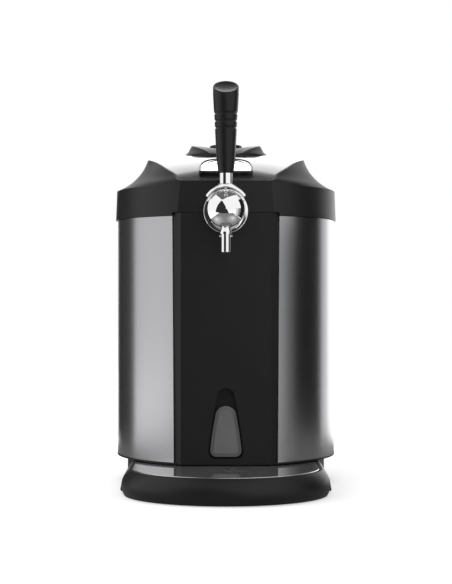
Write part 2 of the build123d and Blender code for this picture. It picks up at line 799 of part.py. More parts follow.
nose_front = keeper_front - keeper_wall - 0.3
bar_back = button_low - 38.0
ramp_reach = tip_reach - (plunger_r + 0.3) * sin(ramp)
ramp_z = tip_z - (plunger_r + 0.3) * cos(ramp)
with BuildPart() as lid_latch:
    block(latch_x - latch_half, latch_x + latch_half, bar_back, nose_front, bar_low, bar_high)
    block(latch_x - latch_half, latch_x + latch_half, nose_front - 3, nose_front,
          jacket_top + 2, bar_high)
    with BuildSketch(sideways_at(latch_x)):
        Polygon((bar_back, bar_low), (ramp_reach + (ramp_z - bar_high) / tan(ramp), bar_low),
                (ramp_reach + (ramp_z - bar_high) / tan(ramp), bar_high),
                (ramp_reach - 4 / tan(ramp), ramp_z + 4), (bar_back, ramp_z + 4), align=None)
    extrude(amount=latch_half, both=True)
name_part(lid_latch.part, "lid_latch")


# Hinge: leaf on the lid, ears on the rear housing, one pin
def crossbar(radius, left, right, reach, height, mode=Mode.ADD):
    """Round bar that lies from side to side."""
    with Locations(Plane(origin=((left + right) / 2, body_y - reach, height),
                         x_dir=(0, 1, 0), z_dir=(1, 0, 0))):
        Cylinder(radius, right - left, mode=mode)


leaf_height = 22.0
with BuildPart() as hinge_leaf:
    block(-knuckle_half, knuckle_half, -hinge_reach + 5, -body_r + 5, hinge_z,
          hinge_z + leaf_height)
    fillet(hinge_leaf.edges().filter_by(Axis.Y).group_by(Axis.Z)[-1], 4.0)
    crossbar(knuckle_r, -knuckle_half, knuckle_half, -hinge_reach, hinge_z)
    block(-knuckle_half, knuckle_half, -hinge_reach + 3, -hinge_reach + 7, hinge_z - 2,
          hinge_z + 4)
    crossbar(hinge_pin_r + pin_gap, -knuckle_half, knuckle_half, -hinge_reach, hinge_z,
             mode=Mode.SUBTRACT)
    drum(lid_r, skirt_low - 9, hinge_z + leaf_height, mode=Mode.SUBTRACT)
    for x in (-16, 16):
        rod(3.0, x, hinge_z + 14, -hinge_reach, -hinge_reach + 6.4, mode=Mode.SUBTRACT)
        rod(1.6, x, hinge_z + 14, -hinge_reach, -body_r, mode=Mode.SUBTRACT)
name_part(hinge_leaf.part, "hinge_leaf")

with BuildPart() as leaf_screws:
    for x in (-16, 16):
        rod(2.9, x, hinge_z + 14, -hinge_reach + 4, -hinge_reach + 6.4)
        rod(1.5, x, hinge_z + 14, -hinge_reach + 6.4, -lid_r - fit_gap)
name_part(leaf_screws.part, "leaf_screws")

ear_low = knuckle_half + run_gap
with BuildPart() as hinge_ears:
    for side in (-1, 1):
        ends = sorted((side * ear_low, side * (ear_low + ear_width)))
        crossbar(knuckle_r, *ends, -hinge_reach, hinge_z)
        block(*ends, -hinge_reach - knuckle_r, -hinge_reach + knuckle_r, rear_top, hinge_z)
        crossbar(hinge_pin_r + pin_gap, *ends, -hinge_reach, hinge_z, mode=Mode.SUBTRACT)
name_part(hinge_ears.part, "hinge_ears")

pin_end = ear_low + ear_width
with BuildPart() as hinge_pin:
    crossbar(hinge_pin_r, -pin_end, pin_end, -hinge_reach, hinge_z)
    chamfer(hinge_pin.edges().filter_by(GeomType.CIRCLE), 0.4)
name_part(hinge_pin.part, "hinge_pin")

# Tap: flange, shank and nut clamp it at the lid's seam
flange_front = panel_reach + flange_wall
shank_back = flange_front - shank_length
with BuildPart() as tap_flange:
    rod(flange_r, 0, tap_z, panel_reach, flange_front)
    fillet(tap_flange.edges().filter_by(GeomType.CIRCLE).sort_by(Axis.Y)[0], 1.0)
    rod(shank_r + fit_gap, 0, tap_z, panel_reach - 1, flange_front + 1, mode=Mode.SUBTRACT)
name_part(tap_flange.part, "tap_flange")

with BuildPart() as tap_shank:
    rod(shank_r, 0, tap_z, shank_back, flange_front)
    rod(flow_r, 0, tap_z, shank_back, flange_front, mode=Mode.SUBTRACT)
name_part(tap_shank.part, "tap_shank")

with BuildPart() as shank_nut:
    with BuildSketch(facing(cradle_back - nut_wall, 0, tap_z)):
        RegularPolygon(nut_r, 6)
        Circle(shank_r + 0.02, mode=Mode.SUBTRACT)
    extrude(amount=nut_wall)
name_part(shank_nut.part, "shank_nut")

barb_length = 14.0
with BuildPart() as hose_barb:
    with BuildSketch(sideways_at(0)):
        Polygon((shank_back, tap_z + flow_r - 1), (shank_back, tap_z + shank_r - 1.5),
                (shank_back - 2, tap_z + shank_r - 1.5), (shank_back - 2, tap_z + 4),
                (shank_back - 5, tap_z + 4), (shank_back - 5, tap_z + 5),
                (shank_back - 8, tap_z + 4), (shank_back - 8, tap_z + 5),
                (shank_back - 11, tap_z + 4), (shank_back - 11, tap_z + 5),
                (shank_back - barb_length, tap_z + 4),
                (shank_back - barb_length, tap_z + flow_r - 1), align=None)
    revolve(axis=Axis((0, body_y, tap_z), (0, 1, 0)))
name_part(hose_barb.part, "hose_barb")

slot_start = -14.5
slot_end = lever_travel + 14.5
edge_lead = (face_r ** 2 - ball_r ** 2 - face_setback ** 2) / (2 * face_setback)
edge_angle = degrees(acos(edge_lead / ball_r))
face_lean = acos((edge_lead + face_setback) / face_r)


def on_face(lean):
    """Point of the ball's flatter front at an angle from its axis."""
    return (tap_reach - face_setback + face_r * cos(lean), tap_z + face_r * sin(lean))


edge_reach, edge_z = on_face(face_lean)
with BuildPart() as tap_ball:
    with BuildSketch(sideways_at(0)) as outline:
        with BuildLine():
            ThreePointArc((tap_reach - face_setback + face_r, tap_z),
                          on_face(0.5 * face_lean), (edge_reach, edge_z))
            CenterArc((tap_reach, tap_z), ball_r, edge_angle, 180 - edge_angle)
            Line((tap_reach - ball_r, tap_z), (tap_reach - face_setback + face_r, tap_z))
        make_face()
        fillet(outline.vertices().sort_by(Axis.Y)[-1], face_edge)
    revolve(axis=Axis((0, body_y, tap_z), (0, 1, 0)))
    rod(neck_r, 0, tap_z, flange_front, tap_reach - ball_r / 2)
    with Locations((0, body_y - tap_reach, tap_z - ball_r - 1.4)):
        Cone(collar_ring_r, drop_r, 6.4)
    ball(valve_room_r, tap_reach, tap_z, mode=Mode.SUBTRACT)
    rod(flow_r, 0, tap_z, flange_front, tap_reach, mode=Mode.SUBTRACT)
    post(flow_r, 0, tap_reach, tap_z - ball_r - 6, tap_z, mode=Mode.SUBTRACT)
    with BuildSketch(sideways_at(0)):
        with Locations((tap_reach, tap_z)):
            far = ball_r * 1.6
            middle = (slot_start + slot_end) / 2
            fan = [(far * sin(radians(a)), far * cos(radians(a)))
                   for a in (slot_start, middle, slot_end)]
            Polygon((0, 0), *fan, align=None)
    extrude(amount=blade_half + run_gap, both=True, mode=Mode.SUBTRACT)
    crossbar(pivot_r + pin_gap, -pivot_half - 0.2, pivot_half + 0.2, tap_reach, tap_z,
             mode=Mode.SUBTRACT)
name_part(tap_ball.part, "tap_ball")

ring_top = tap_z - ball_r - 4.6
spout_end = tap_z - spout_drop
with BuildPart() as spout_tube:
    post(collar_ring_r, 0, tap_reach, ring_top - 2.6, ring_top)
    post(spout_r, 0, tap_reach, spout_end, ring_top - 2.6)
    crossbar(1.2, -7.4, 7.4, tap_reach, tap_z - 31.0)
    fillet(spout_tube.edges().filter_by(GeomType.CIRCLE).group_by(Axis.Z)[0], 0.5)
    post(spout_bore_r, 0, tap_reach, spout_end - 1, ring_top, mode=Mode.SUBTRACT)
name_part(spout_tube.part, "spout_tube")

core_ball_r = valve_room_r - 0.3
saddle_r = ball_r + saddle_gap
with BuildPart() as valve_core:
    ball(core_ball_r, tap_reach, tap_z)
    crossbar(pivot_r, -pivot_half, pivot_half, tap_reach, tap_z)
    block(-blade_half, blade_half, tap_reach - blade_depth / 2, tap_reach + blade_depth / 2,
          tap_z + 10, tap_z + saddle_r - 3 * fit_gap)
    shut = radians(lever_travel)
    for way in ((0, cos(shut), -sin(shut)), (0, -sin(shut), -cos(shut))):
        with BuildSketch(Plane(origin=(0, body_y - tap_reach, tap_z), z_dir=way)) as bore:
            Circle(flow_r)
        extrude(bore.sketch, amount=valve_room_r + 2, mode=Mode.SUBTRACT)
name_part(valve_core.part, "valve_core")

stem_foot = tap_z + stem_low
with BuildPart() as tap_saddle:
    ball(saddle_r + saddle_wall, tap_reach, tap_z)
    block(-ball_r * 2, ball_r * 2, tap_reach - saddle_half, tap_reach + saddle_half,
          tap_z + saddle_tip, stem_foot, mode=Mode.INTERSECT)
    with Locations((0, body_y - tap_reach, stem_foot - 3.0)):
        Cone(saddle_half + 3.0, stem_r, 6.0)
    ball(saddle_r, tap_reach, tap_z, mode=Mode.SUBTRACT)
name_part(tap_saddle.part, "tap_saddle")

handle_foot = tap_z + handle_low
stem_top = handle_foot + 12.0
with BuildPart() as tap_stem:
    post(stem_r, 0, tap_reach, stem_foot, stem_top)
name_part(tap_stem.part, "tap_stem")

handle_waist = ((0, 9.3), (0.15, 10.5), (0.33, 11.35), (0.5, 12.2), (0.72, 13.6), (0.9, 14.6),
                (1.0, 14.4))
groove_places = (0.525, 0.62, 0.705)
cut_angle = 31.0
with BuildPart() as tap_handle:
    with BuildSketch(Plane(origin=(0, body_y - tap_reach, handle_foot), x_dir=(1, 0, 0),
                           z_dir=(0, -1, 0))):
        with BuildLine():
            side = [(radius / 14.6 * handle_top_r, share * handle_length)
                    for share, radius in handle_waist]
            Spline(*side)
            Polyline(side[-1], (0, handle_length), (0, 0), side[0])
        make_face()
    handle_line = Axis((0, body_y - tap_reach, handle_foot), (0, 0, 1))
    revolve(axis=handle_line)
    cut_height = handle_foot + handle_length - handle_top_r * tan(radians(cut_angle))
    split(bisect_by=Plane(origin=(0, body_y - tap_reach, cut_height),
                          z_dir=(0, -sin(radians(cut_angle)), cos(radians(cut_angle)))),
          keep=Keep.BOTTOM)
    for share in groove_places:
        with Locations((0, body_y - tap_reach, handle_foot + share * handle_length)):
            Torus(handle_top_r - 0.6, 1.7, mode=Mode.SUBTRACT)
    post(stem_r + 0.02, 0, tap_reach, handle_foot - 1, stem_top, mode=Mode.SUBTRACT)
name_part(tap_handle.part, "tap_handle")


# Drip tray: bulged foot with runners, tub, grips and the plate that lifts out
widest = 12.0            # height at which the foot bulges most
pull_top = 9.0           # how far it draws in by its top
pull_foot = 3.1          # and by its lower edge
nose_reach = tray_reach - tray_nose
tray_rear_r = drum_r + run_gap
tray_deck = 4.5


def foot_pull(height):
    """How far the foot's side lies inside its widest line at a height."""
    if height > widest:
        return pull_top * ((height - widest) / (tray_top - widest)) ** 2
    return pull_foot * ((widest - height) / (widest - tray_low)) ** 2


def tray_plan(height, inset, rear_r, horn, plane_height=None):
    """Tray from above: rounded nose, straight sides, horns and a hollow rear edge."""
    half = tray_half - foot_pull(height) - inset
    nose = tray_nose - foot_pull(height) - inset
    tip = sqrt(rear_r ** 2 - horn ** 2)
    with BuildSketch(level(height if plane_height is None else plane_height)) as plan:
        with BuildLine():
            EllipticalCenterArc((0, -nose_reach), half, nose, start_angle=180, arc_size=180)
            Polyline((half, -nose_reach), (half, -horn), (tip, -horn))
            ThreePointArc((tip, -horn), (0, -rear_r), (-tip, -horn))
            Polyline((-tip, -horn), (-half, -horn), (-half, -nose_reach))
        make_face()
    return plan.sketch


def tray_body(inset, low, high):
    """Bulged body of the tray between two heights, inset all round."""
    with BuildPart() as body:
        heights = [low + (high - low) * step / 5 for step in range(6)]
        loft([tray_plan(max(min(z, tray_top), tray_low), inset, tray_rear_r + inset,
                        tray_horn + inset, z) for z in heights])
    return body.part


def plate_block(inset, low, high, mode=Mode.ADD):
    """Outline of the drip plate, inset: the nose, round the body and up to the flat panel."""
    rear = plate_rear_r + inset
    half = tray_half - pull_top - tray_lip - inset
    nose = tray_nose - pull_top - tray_lip - inset
    flat = panel_reach + plate_gap + inset
    reach = sqrt(rear ** 2 - half ** 2)
    step = sqrt(rear ** 2 - flat ** 2)
    mid = (step + half) / 2
    with BuildSketch(level(low)) as plan:
        with BuildLine():
            EllipticalCenterArc((0, -nose_reach), half, nose, start_angle=180, arc_size=180)
            Line((half, -nose_reach), (half, -reach))
            ThreePointArc((half, -reach), (mid, -sqrt(rear ** 2 - mid ** 2)), (step, -flat))
            Line((step, -flat), (-step, -flat))
            ThreePointArc((-step, -flat), (-mid, -sqrt(rear ** 2 - mid ** 2)), (-half, -reach))
            Line((-half, -reach), (-half, -nose_reach))
        make_face()
    extrude(plan.sketch, amount=high - low, mode=mode)


plate_low = tray_top - plate_wall
flange_low = plate_low - 1.5
with BuildPart() as drip_tray:
    add(tray_body(0, tray_low, tray_top))
    add(tray_body(tray_wall, tray_low - 1, tray_top - tray_deck), mode=Mode.SUBTRACT)
    plate_block(-run_gap, flange_low, tray_top + 1, mode=Mode.SUBTRACT)
    plate_block(ledge, tray_low, tray_top, mode=Mode.SUBTRACT)
    for side in (-1, 1):
        x = side * runner_x
        rear = sqrt(tray_rear_r ** 2 - runner_x ** 2)
        block(x - runner_half, x + runner_half, rear - runner_length, rear + tray_wall - 1,
              runner_low, runner_low + runner_height)
name_part(drip_tray.part, "drip_tray")

with BuildPart() as tray_tub:
    plate_block(0, flange_low, plate_low)
    plate_block(ledge + 0.3, tub_low, flange_low)
    plate_block(ledge + 0.3 + tub_floor, tub_low + tub_floor, plate_low, mode=Mode.SUBTRACT)
name_part(tray_tub.part, "tray_tub")

grip_back = tray_half - 1.6
grip_length = 24.0
with BuildPart() as tray_grips:
    for side in (-1, 1):
        with BuildSketch(facing(grip_back)) as wedge:
            Polygon((side * (tray_half - 6), 2.0), (side * (tray_half + 2.9), 2.0),
                    (side * (tray_half + 2.9), 4.0), (side * (tray_half - 2), 20.0),
                    (side * (tray_half - 6), 20.0), align=None)
        extrude(wedge.sketch, amount=grip_length)
    fillet(tray_grips.edges().filter_by(Axis.X), 3.0)
    add(tray_body(-0.02, tray_low, tray_top), mode=Mode.SUBTRACT)
name_part(tray_grips.part, "tray_grips")

drain_slots = 8
with BuildPart() as drip_plate:
    plate_block(0, plate_low, tray_top)
    with BuildSketch(Plane((0, body_y - tap_reach, tray_top))):
        with PolarLocations(15.0, drain_slots, start_angle=22.5):
            SlotOverall(19.0, slot_width)
        Circle(3.0)
    extrude(amount=-plate_wall, mode=Mode.SUBTRACT)
name_part(drip_plate.part, "drip_plate")


# Rear housing with the cooling set
wall_back = -rear_reach + rear_wall
vent_rows = 9
vent_pitch = 9.0
with BuildPart() as rear_housing:
    block(-rear_half, rear_half, -rear_reach, -foam_back - 1, rear_low, rear_top)
    fillet(rear_housing.edges().filter_by(Axis.Z).group_by(Axis.Y)[-1], rear_corner)
    fillet(rear_housing.faces().sort_by(Axis.Y)[-1].edges(), 2.0)
    block(-rear_inner, rear_inner, wall_back, -foam_back, rear_low + rear_wall,
          rear_top - rear_wall, mode=Mode.SUBTRACT)
    rod(grille_r + 0.2, 0, cooler_height, -rear_reach - 1, wall_back + 1, mode=Mode.SUBTRACT)
    for row in range(vent_rows):
        height = cooler_height + 66.0 + (row - vent_rows / 2) * vent_pitch * 0.7
        block(-40, 40, -rear_reach - 1, wall_back + 1, height, height + 3, mode=Mode.SUBTRACT)
    for row in range(vent_rows * 2):
        height = cooler_height - 72 + row * vent_pitch
        block(-rear_half - 1, rear_half + 1, -rear_reach + 17, -foam_back - 12, height,
              height + 3.5, mode=Mode.SUBTRACT)
    block(socket_x - 14.1, socket_x + 14.1, -rear_reach - 1, wall_back + 1,
          controls_height - 10.1, controls_height + 10.1, mode=Mode.SUBTRACT)
    block(switch_x - 11.1, switch_x + 11.1, -rear_reach - 1, wall_back + 1,
          controls_height - 13.1, controls_height + 13.1, mode=Mode.SUBTRACT)
name_part(rear_housing.part, "rear_housing")

with BuildPart() as rear_shelf:
    drum(body_r, rear_top, jacket_top)
    block(-rear_half, rear_half, -body_r, -foam_back - 1, rear_top, jacket_top,
          mode=Mode.INTERSECT)
name_part(rear_shelf.part, "rear_shelf")

block_back = liner_r + block_depth
half_block = block_side / 2
block_top = cooler_height + half_block
sensor_r = 2.0
sensor_reach = -liner_r - block_depth / 2
sensor_low = block_top - 14.0
with BuildPart() as cold_block:
    block(-half_block, half_block, -block_back, -keg_room_r + 5, cooler_height - half_block,
          cooler_height + half_block)
    drum(liner_r, 0, jacket_top, mode=Mode.SUBTRACT)
    post(sensor_r + fit_gap, 0, sensor_reach, sensor_low, block_top + 1, mode=Mode.SUBTRACT)
name_part(cold_block.part, "cold_block")

with BuildPart() as temperature_sensor:
    post(sensor_r, 0, sensor_reach, sensor_low, block_top)
name_part(temperature_sensor.part, "temperature_sensor")

module_back = block_back + module_wall
half_module = module_side / 2
with BuildPart() as peltier_module:
    block(-half_module, half_module, -module_back, -block_back, cooler_height - half_module,
          cooler_height + half_module)
name_part(peltier_module.part, "peltier_module")

sink_back = module_back + sink_base
half_sink = sink_side / 2
fin_tip = rear_reach - rear_wall - fan_wall - fan_room
with BuildPart() as heat_sink:
    block(-half_sink, half_sink, -sink_back, -module_back, cooler_height - half_sink,
          cooler_height + half_sink)
    fin_pitch = (sink_side - fin_wall) / (fin_count - 1)
    for fin in range(fin_count):
        left = -half_sink + fin * fin_pitch
        block(left, left + fin_wall, -fin_tip, -sink_back,
              cooler_height - half_sink, cooler_height + half_sink)
name_part(heat_sink.part, "heat_sink")

fan_front = -rear_reach + rear_wall + fan_wall
half_fan = fan_side / 2
axle_r = 1.5
bearing_wall = 2.0
screw_places = [(x, cooler_height + z) for x in (-35.75, 35.75) for z in (-35.75, 35.75)]
with BuildPart() as fan_frame:
    block(-half_fan, half_fan, wall_back, fan_front, cooler_height - half_fan,
          cooler_height + half_fan)
    fillet(fan_frame.edges().filter_by(Axis.Y), 4.0)
    rod(fan_bore_r, 0, cooler_height, wall_back, fan_front, mode=Mode.SUBTRACT)
    rod(hub_r - 2, 0, cooler_height, fan_front - bearing_wall, fan_front)
    block(-fan_bore_r - 1, fan_bore_r + 1, fan_front - bearing_wall, fan_front,
          cooler_height - 2, cooler_height + 2)
    block(-2, 2, fan_front - bearing_wall, fan_front, cooler_height - fan_bore_r - 1,
          cooler_height + fan_bore_r + 1)
    rod(axle_r, 0, cooler_height, wall_back + 3, fan_front)
    for x, height in screw_places:
        rod(1.9, x, height, wall_back, fan_front, mode=Mode.SUBTRACT)
name_part(fan_frame.part, "fan_frame")

rotor_back = wall_back + 1.5
rotor_front = fan_front - bearing_wall - run_gap
with BuildPart() as fan_rotor:
    rod(hub_r, 0, cooler_height, rotor_back, rotor_front)
    for blade in range(blade_count):
        turn = 360 / blade_count * blade
        with BuildSketch(facing(rotor_back + 1, 0, cooler_height)) as root:
            with Locations(Location((0, 0), turn)):
                with Locations((22.5, 5)):
                    Rectangle(25, 1.8)
        with BuildSketch(facing(rotor_front - 1, 0, cooler_height)) as tip:
            with Locations(Location((0, 0), turn)):
                with Locations((22.5, -5)):
                    Rectangle(25, 1.8)
        loft([root.sketch, tip.sketch])
    rod(fan_bore_r - 1, 0, cooler_height, rotor_back - 2, rotor_front + 2, mode=Mode.INTERSECT)
    rod(axle_r + pin_gap, 0, cooler_height, rotor_back, rotor_front, mode=Mode.SUBTRACT)
name_part(fan_rotor.part, "fan_rotor")

with BuildPart() as fan_grille:
    rod(grille_r, 0, cooler_height, -rear_reach, -rear_reach + grille_wall)
    for ring in (34.0, 26.0, 18.0, 10.0):
        with BuildSketch(facing(-rear_reach, 0, cooler_height)):
            Circle(ring + 4.5)
            Circle(ring - 1.5, mode=Mode.SUBTRACT)
        extrude(amount=grille_wall, mode=Mode.SUBTRACT)
    with BuildSketch(facing(-rear_reach, 0, cooler_height)):
        with PolarLocations(0, 3, start_angle=30):
            Rectangle(2 * grille_r - 2, 2.4)
    extrude(amount=grille_wall)
name_part(fan_grille.part, "fan_grille")

with BuildPart() as fan_screws:
    for x, height in screw_places:
        rod(1.8, x, height, wall_back, fan_front - 2)
name_part(fan_screws.part, "fan_screws")

with BuildPart() as power_inlet:
    block(socket_x - 14, socket_x + 14, -rear_reach, -rear_reach + 20, controls_height - 10,
          controls_height + 10)
    fillet(power_inlet.edges().filter_by(Axis.Y), 2.0)
    block(socket_x - 12, socket_x + 12, -rear_reach - 1, -rear_reach + 16,
          controls_height - 8, controls_height + 8, mode=Mode.SUBTRACT)
    for x, rise in ((-7, -2), (0, 2.5), (7, -2)):
        block(socket_x + x - 1, socket_x + x + 1, -rear_reach + 4, -rear_reach + 16.5,
              controls_height + rise - 2, controls_height + rise + 2)
name_part(power_inlet.part, "power_inlet")

rocker_reach = -rear_reach + 6.0
rocker_half = 8.0
trunnion_r = 1.5
with BuildPart() as switch_frame:
    block(switch_x - 11, switch_x + 11, -rear_reach, -rear_reach + 18, controls_height - 13,
          controls_height + 13)
    block(switch_x - rocker_half - run_gap, switch_x + rocker_half + run_gap, -rear_reach - 1,
          -rear_reach + 15, controls_height - 10.6, controls_height + 10.6,
          mode=Mode.SUBTRACT)
    crossbar(trunnion_r + pin_gap, switch_x - 10, switch_x + 10, rocker_reach,
             controls_height, mode=Mode.SUBTRACT)
name_part(switch_frame.part, "switch_frame")

with BuildPart() as power_switch:
    with BuildSketch(sideways_at(switch_x)):
        with Locations(Location((rocker_reach, controls_height), switch_angle)):
            Polygon((3, -5), (3, 5), (-6.0, 9.2), (-7.4, 9.2), (-6.0, 0), (-7.4, -9.2),
                    (-6.0, -9.2), align=None)
    extrude(amount=rocker_half, both=True)
    crossbar(trunnion_r, switch_x - 9.6, switch_x + 9.6, rocker_reach, controls_height)
name_part(power_switch.part, "power_switch")

control_half = 30.0
control_high = cooler_height - half_fan - 14.0
control_low = control_high - 44.0
control_back = wall_back + 8.0
control_face = control_back + board_wall
with BuildPart() as circuit_board:
    block(-control_half, control_half, control_back, control_face, control_low, control_high)
    for x in (-control_half + 4, control_half - 4):
        for height in (control_low + 4, control_high - 4):
            rod(2.5, x, height, wall_back, control_back)
    for x, width, depth in ((-14, 14, 9), (8, 10, 6), (21, 7, 12)):
        block(x - width / 2, x + width / 2, control_face, control_face + depth, control_low + 12,
              control_high - 14)
name_part(circuit_board.part, "circuit_board")
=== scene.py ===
import json
import math

import bmesh
import bpy
import numpy as np
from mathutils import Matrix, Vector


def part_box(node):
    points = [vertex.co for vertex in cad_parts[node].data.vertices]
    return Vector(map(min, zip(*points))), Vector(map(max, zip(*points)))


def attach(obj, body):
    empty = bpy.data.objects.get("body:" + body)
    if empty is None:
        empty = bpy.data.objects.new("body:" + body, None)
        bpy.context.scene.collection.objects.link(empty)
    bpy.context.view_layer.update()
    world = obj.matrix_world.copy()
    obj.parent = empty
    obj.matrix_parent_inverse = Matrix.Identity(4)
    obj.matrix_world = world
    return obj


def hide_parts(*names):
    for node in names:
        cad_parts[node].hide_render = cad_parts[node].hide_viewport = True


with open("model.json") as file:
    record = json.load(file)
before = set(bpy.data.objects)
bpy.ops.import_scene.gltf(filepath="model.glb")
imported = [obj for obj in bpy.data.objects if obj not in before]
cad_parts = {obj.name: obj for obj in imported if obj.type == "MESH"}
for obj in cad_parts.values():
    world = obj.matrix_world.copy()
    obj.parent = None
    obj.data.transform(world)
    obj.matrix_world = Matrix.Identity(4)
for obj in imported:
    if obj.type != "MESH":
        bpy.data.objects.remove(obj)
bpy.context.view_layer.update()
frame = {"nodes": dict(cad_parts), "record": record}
nodes = frame["nodes"]

# Studio: a pale floor that melts into a white room, seen white by the camera and in the metal.
# Tall soft boxes stand left and right and a bright one behind, and dark boards that only the
# metal and the gloss see draw the dark bands of a product studio in them.
WHITE_ROOM = (1.0, 1.0, 1.0, 1.0)


def new_material(name):
    """An empty node material: its tree, its shader and its output."""
    material = bpy.data.materials.new(name)
    material.use_nodes = True
    tree = material.node_tree
    return material, tree, tree.nodes["Principled BSDF"], tree.nodes["Material Output"]


def seen_directly(tree):
    """1 where a camera, mirror or glass ray looks, and 0 for the light that falls on things."""
    path = tree.nodes.new("ShaderNodeLightPath")
    mirror = tree.nodes.new("ShaderNodeMath")
    mirror.operation = "MAXIMUM"
    tree.links.new(path.outputs["Is Camera Ray"], mirror.inputs[0])
    tree.links.new(path.outputs["Is Glossy Ray"], mirror.inputs[1])
    glass = tree.nodes.new("ShaderNodeMath")
    glass.operation = "MAXIMUM"
    tree.links.new(mirror.outputs[0], glass.inputs[0])
    tree.links.new(path.outputs["Is Transmission Ray"], glass.inputs[1])
    return glass.outputs[0]


def studio_world(ambient):
    """White to the eye and to metal, and a soft grey light for everything else."""
    world = bpy.data.worlds.new("white_room")
    bpy.context.scene.world = world
    world.use_nodes = True
    tree = world.node_tree
    soft = tree.nodes["Background"]
    soft.inputs["Color"].default_value = WHITE_ROOM
    soft.inputs["Strength"].default_value = ambient
    bright = tree.nodes.new("ShaderNodeBackground")
    bright.inputs["Color"].default_value = WHITE_ROOM
    bright.inputs["Strength"].default_value = 1.0
    mix = tree.nodes.new("ShaderNodeMixShader")
    tree.links.new(seen_directly(tree), mix.inputs[0])
    tree.links.new(soft.outputs[0], mix.inputs[1])
    tree.links.new(bright.outputs[0], mix.inputs[2])
    tree.links.new(mix.outputs[0], tree.nodes["World Output"].inputs["Surface"])


def board(name, corners):
    """A flat board through its corners, in metres."""
    mesh = bpy.data.meshes.new(name)
    mesh.from_pydata(corners, [], [tuple(range(len(corners)))])
    thing = bpy.data.objects.new(name, mesh)
    bpy.context.scene.collection.objects.link(thing)
    return thing


def studio_floor(size, grey, glow_strength):
    """Pale matt floor at the height of the feet, lifted to white where it is seen."""
    floor = board("floor", [(-size, -size, 0), (size, -size, 0), (size, size, 0),
                            (-size, size, 0)])
    material, tree, shader, out = new_material("pale_floor")
    shader.inputs["Base Color"].default_value = (grey, grey, grey, 1)
    shader.inputs["Roughness"].default_value = 0.9
    shader.inputs["Specular IOR Level"].default_value = 0.0
    glow = tree.nodes.new("ShaderNodeEmission")
    scale = tree.nodes.new("ShaderNodeMath")
    scale.operation = "MULTIPLY"
    scale.inputs[1].default_value = glow_strength
    tree.links.new(seen_directly(tree), scale.inputs[0])
    tree.links.new(scale.outputs[0], glow.inputs["Strength"])
    add = tree.nodes.new("ShaderNodeAddShader")
    tree.links.new(shader.outputs[0], add.inputs[0])
    tree.links.new(glow.outputs[0], add.inputs[1])
    tree.links.new(add.outputs[0], out.inputs["Surface"])
    floor.data.materials.append(material)


def reflected_board(name, corners, grey):
    """A board that only metal and gloss see, in an even grey."""
    thing = board(name, corners)
    material, tree, shader, out = new_material(name)
    glow = tree.nodes.new("ShaderNodeEmission")
    glow.inputs["Color"].default_value = (grey, grey, grey, 1)
    tree.links.new(glow.outputs[0], out.inputs["Surface"])
    thing.data.materials.append(material)
    for ray in ("camera", "diffuse", "transmission", "volume_scatter", "shadow"):
        setattr(thing, "visible_" + ray, False)


def upright_board(name, start, end, reach, high, grey):
    """An upright reflected board between two angles from the camera's side, in degrees."""
    ends = [(reach * math.sin(math.radians(a)), -reach * math.cos(math.radians(a)))
            for a in (start, end)]
    reflected_board(name, [(*ends[0], 0), (*ends[1], 0), (*ends[1], high), (*ends[0], high)], grey)


def soft_box(name, place, target, width, height, power, glossy):
    """A rectangular lamp that points at a target; gloss may show it or not."""
    lamp = bpy.data.lights.new(name, "AREA")
    lamp.shape = "RECTANGLE"
    lamp.size, lamp.size_y, lamp.energy = width, height, power
    thing = bpy.data.objects.new(name, lamp)
    thing.location = place
    way = Vector(target) - Vector(place)
    thing.rotation_euler = way.to_track_quat("-Z", "Y").to_euler()
    thing.visible_camera = False
    thing.visible_glossy = glossy
    bpy.context.scene.collection.objects.link(thing)


def reflected_mat(name, corners, grey, glow, spots):
    """A grey mat that only metal and gloss see, brighter in soft round spots (x, y, radius)."""
    reflected_board(name, corners, grey)
    tree = bpy.data.materials[name].node_tree
    where = tree.nodes.new("ShaderNodeTexCoord")
    level = None
    for x, y, radius in spots:
        mapping = tree.nodes.new("ShaderNodeMapping")
        mapping.vector_type = "TEXTURE"
        mapping.inputs["Location"].default_value = (x, y, 0)
        mapping.inputs["Scale"].default_value = (radius, radius, 1)
        spot = tree.nodes.new("ShaderNodeTexGradient")
        spot.gradient_type = "QUADRATIC_SPHERE"
        tree.links.new(where.outputs["Object"], mapping.inputs["Vector"])
        tree.links.new(mapping.outputs[0], spot.inputs["Vector"])
        scale = tree.nodes.new("ShaderNodeMath")
        scale.operation = "MULTIPLY_ADD"
        scale.inputs[1].default_value = glow
        scale.inputs[2].default_value = 1.0
        tree.links.new(spot.outputs["Fac"], scale.inputs[0])
        if level is not None:
            tree.links.new(level, scale.inputs[2])
        level = scale.outputs[0]
    tree.links.new(level, tree.nodes["Emission"].inputs["Strength"])


studio_world(ambient=0.70)
studio_floor(size=60.0, grey=0.80, glow_strength=0.45)
soft_box("left_box", (-1.6, -0.35, 0.80), target=(0, 0, 0.28), width=1.5, height=1.6,
         power=12.0, glossy=False)
soft_box("right_box", (1.4, -1.10, 0.80), target=(0, 0, 0.28), width=1.2, height=1.6,
         power=4.0, glossy=False)
soft_box("rear_box", (0, 2.0, 1.50), target=(0, 0, 0.38), width=0.9, height=1.9,
         power=11.5, glossy=True)

